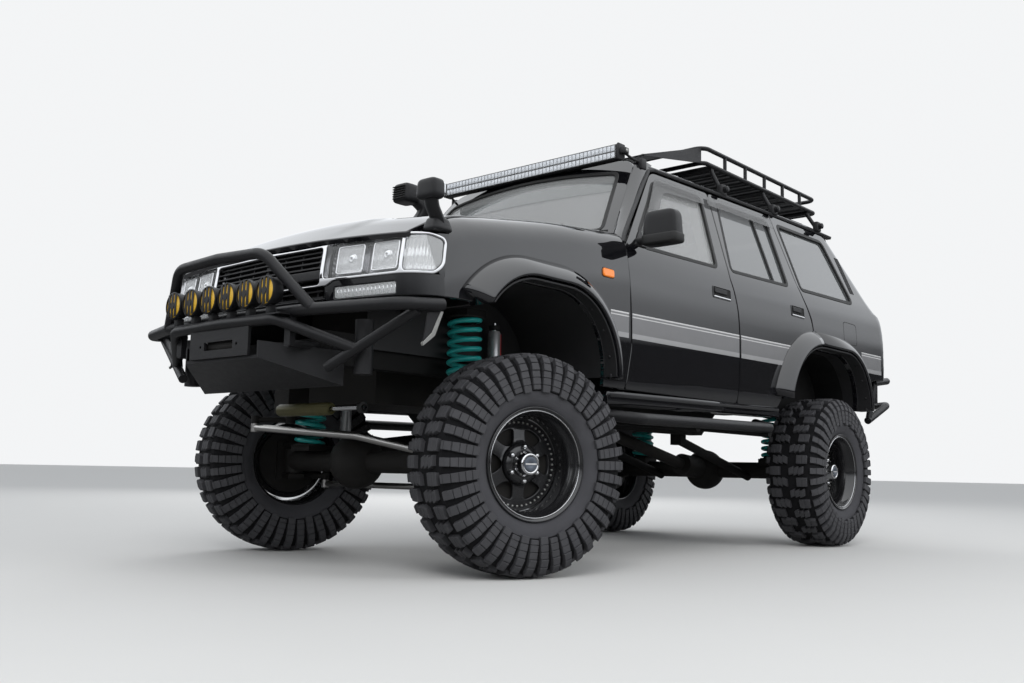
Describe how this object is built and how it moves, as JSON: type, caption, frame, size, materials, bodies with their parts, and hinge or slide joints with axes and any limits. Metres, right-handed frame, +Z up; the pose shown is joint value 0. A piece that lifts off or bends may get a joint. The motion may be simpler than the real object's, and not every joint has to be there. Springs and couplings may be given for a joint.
{
  "type": "lifted off-road 4x4",
  "caption": "Lifted four-door off-road estate with large mud tyres, tube bumpers, roof rack, snorkel and opening doors, hood and tailgates; the front wheels steer.",
  "frame": {"origin": "on the ground under the middle of the vehicle's bounding box", "axes": "+Z up, +Y to the vehicle's rear, +X to its left side; the nose points to -Y"},
  "size_m": [2.23, 5.0219, 2.3159],
  "materials": {
    "body_paint": "gloss",
    "black_steel": "satin",
    "underbody": "matte",
    "bare_steel": "satin",
    "spring_paint": "satin",
    "tyre_rubber": "matte",
    "wheel_paint": "gloss",
    "trim": "matte",
    "lamp_lens": "clear",
    "clear_glass": "clear",
    "tinted_glass": "tinted",
    "seat_cloth": "woven"
  },
  "bodies": {
    "chassis": {"frame": "black_steel", "drivetrain": "underbody", "front_axle": "underbody", "rear_axle": "underbody", "springs": "spring_paint", "dampers": "bare_steel", "suspension_links": "underbody", "prop_shafts": "underbody", "sliders": "black_steel", "front_bumper": "black_steel", "driving_lamps": "lamp_lens", "reservoirs": "bare_steel", "rear_bumper": "black_steel", "floor": "underbody", "body_side_left": "body_paint", "body_side_right": "body_paint", "roof": "body_paint", "windscreen": "clear_glass", "quarter_windows": "tinted_glass", "bulkhead": "underbody", "wheelhouses": "underbody", "cross_members": "black_steel", "steering_box": "black_steel", "fender_left": "body_paint", "fender_right": "body_paint", "front_panel": "trim", "headlamps": "lamp_lens", "roof_rack": "black_steel", "light_bar": "trim", "snorkel": "trim", "seats": "seat_cloth", "dashboard": "trim"},
    "hood": {"hood": "body_paint"},
    "front_door_left": {"front_door_left": "body_paint", "front_window_left": "clear_glass"},
    "rear_door_left": {"rear_door_left": "body_paint", "rear_window_left": "tinted_glass"},
    "front_door_right": {"front_door_right": "body_paint", "front_window_right": "clear_glass"},
    "rear_door_right": {"rear_door_right": "body_paint", "rear_window_right": "tinted_glass"},
    "tailgate_upper": {"tailgate_upper": "body_paint", "tailgate_window": "tinted_glass"},
    "tailgate_lower": {"tailgate_lower": "body_paint"},
    "knuckle_left": {"knuckle_left": "underbody"},
    "front_wheel_left": {"front_wheel_left": "wheel_paint", "front_tyre_left": "tyre_rubber"},
    "knuckle_right": {"knuckle_right": "underbody"},
    "front_wheel_right": {"front_wheel_right": "wheel_paint", "front_tyre_right": "tyre_rubber"},
    "rear_wheel_left": {"rear_wheel_left": "wheel_paint", "rear_tyre_left": "tyre_rubber"},
    "rear_wheel_right": {"rear_wheel_right": "wheel_paint", "rear_tyre_right": "tyre_rubber"},
    "tie_rod": {"tie_rod": "bare_steel"},
    "drag_link": {"drag_link": "bare_steel"},
    "pitman_arm": {"pitman_arm": "bare_steel"},
    "steering_wheel": {"steering_wheel": "black_steel"}
  },
  "joints": [
    {"name": "hood_hinge", "type": "hinge", "parent": "chassis", "child": "hood", "pos_m": [0, -0.984, 1.604], "axis": [-1, 0, 0], "range_deg": [0, 50]},
    {"name": "front_door_left_hinge", "type": "hinge", "parent": "chassis", "child": "front_door_left", "pos_m": [0.922, -0.932, 1.1], "axis": [0, 0, -1], "range_deg": [0, 65]},
    {"name": "rear_door_left_hinge", "type": "hinge", "parent": "chassis", "child": "rear_door_left", "pos_m": [0.922, 0.055, 1.1], "axis": [0, 0, -1], "range_deg": [0, 65]},
    {"name": "front_door_right_hinge", "type": "hinge", "parent": "chassis", "child": "front_door_right", "pos_m": [-0.922, -0.932, 1.1], "axis": [0, 0, 1], "range_deg": [0, 65]},
    {"name": "rear_door_right_hinge", "type": "hinge", "parent": "chassis", "child": "rear_door_right", "pos_m": [-0.922, 0.055, 1.1], "axis": [0, 0, 1], "range_deg": [0, 65]},
    {"name": "tailgate_upper_hinge", "type": "hinge", "parent": "chassis", "child": "tailgate_upper", "pos_m": [0, 1.983, 2.126], "axis": [1, 0, 0], "range_deg": [0, 85]},
    {"name": "tailgate_lower_hinge", "type": "hinge", "parent": "chassis", "child": "tailgate_lower", "pos_m": [0, 2.393, 1.146], "axis": [-1, 0, 0], "range_deg": [0, 90]},
    {"name": "steer_left", "type": "hinge", "parent": "chassis", "child": "knuckle_left", "pos_m": [0.72, -1.529, 0.452], "axis": [0, 0, 1], "range_deg": [-8.3, 41.7]},
    {"name": "front_wheel_left_spin", "type": "hinge", "parent": "knuckle_left", "child": "front_wheel_left", "pos_m": [0.72, -1.529, 0.452], "axis": [0.9578, -0.2874, 0], "continuous": true},
    {"name": "steer_right", "type": "hinge", "parent": "chassis", "child": "knuckle_right", "pos_m": [-0.72, -1.529, 0.452], "axis": [0, 0, 1], "range_deg": [-8.3, 41.7]},
    {"name": "front_wheel_right_spin", "type": "hinge", "parent": "knuckle_right", "child": "front_wheel_right", "pos_m": [-0.72, -1.529, 0.452], "axis": [0.9578, -0.2874, 0], "continuous": true},
    {"name": "rear_wheel_left_spin", "type": "hinge", "parent": "chassis", "child": "rear_wheel_left", "pos_m": [0.815, 1.321, 0.452], "axis": [1, 0, 0], "continuous": true},
    {"name": "rear_wheel_right_spin", "type": "hinge", "parent": "chassis", "child": "rear_wheel_right", "pos_m": [-0.815, 1.321, 0.452], "axis": [1, 0, 0], "continuous": true},
    {"name": "tie_rod_eye", "type": "hinge", "parent": "knuckle_left", "child": "tie_rod", "pos_m": [0.70563, -1.36808, 0.378], "axis": [0, 0, 1], "range_deg": [-45.3, 9.1]},
    {"name": "drag_link_eye", "type": "hinge", "parent": "knuckle_left", "child": "drag_link", "pos_m": [0.61943, -1.65543, 0.43], "axis": [0, 0, 1], "range_deg": [-41.7, 8.3]},
    {"name": "pitman_turn", "type": "hinge", "parent": "chassis", "child": "pitman_arm", "pos_m": [-0.43, -1.779, 0.64], "axis": [0, 0, 1], "range_deg": [-8.3, 41.7]},
    {"name": "steering_wheel_turn", "type": "hinge", "parent": "chassis", "child": "steering_wheel", "pos_m": [-0.37, -0.449, 1.44], "axis": [0, 0.8829, 0.4695], "range_deg": [-117.2, 584.8]}
  ],
  "couplings": [
    {"joint": "steer_right", "follows": "steer_left", "ratio": 1},
    {"joint": "tie_rod_eye", "follows": "steer_left", "ratio": -1.085},
    {"joint": "drag_link_eye", "follows": "steer_left", "ratio": -1},
    {"joint": "pitman_turn", "follows": "steer_left", "ratio": 1},
    {"joint": "steering_wheel_turn", "follows": "steer_left", "ratio": 14}
  ]
}
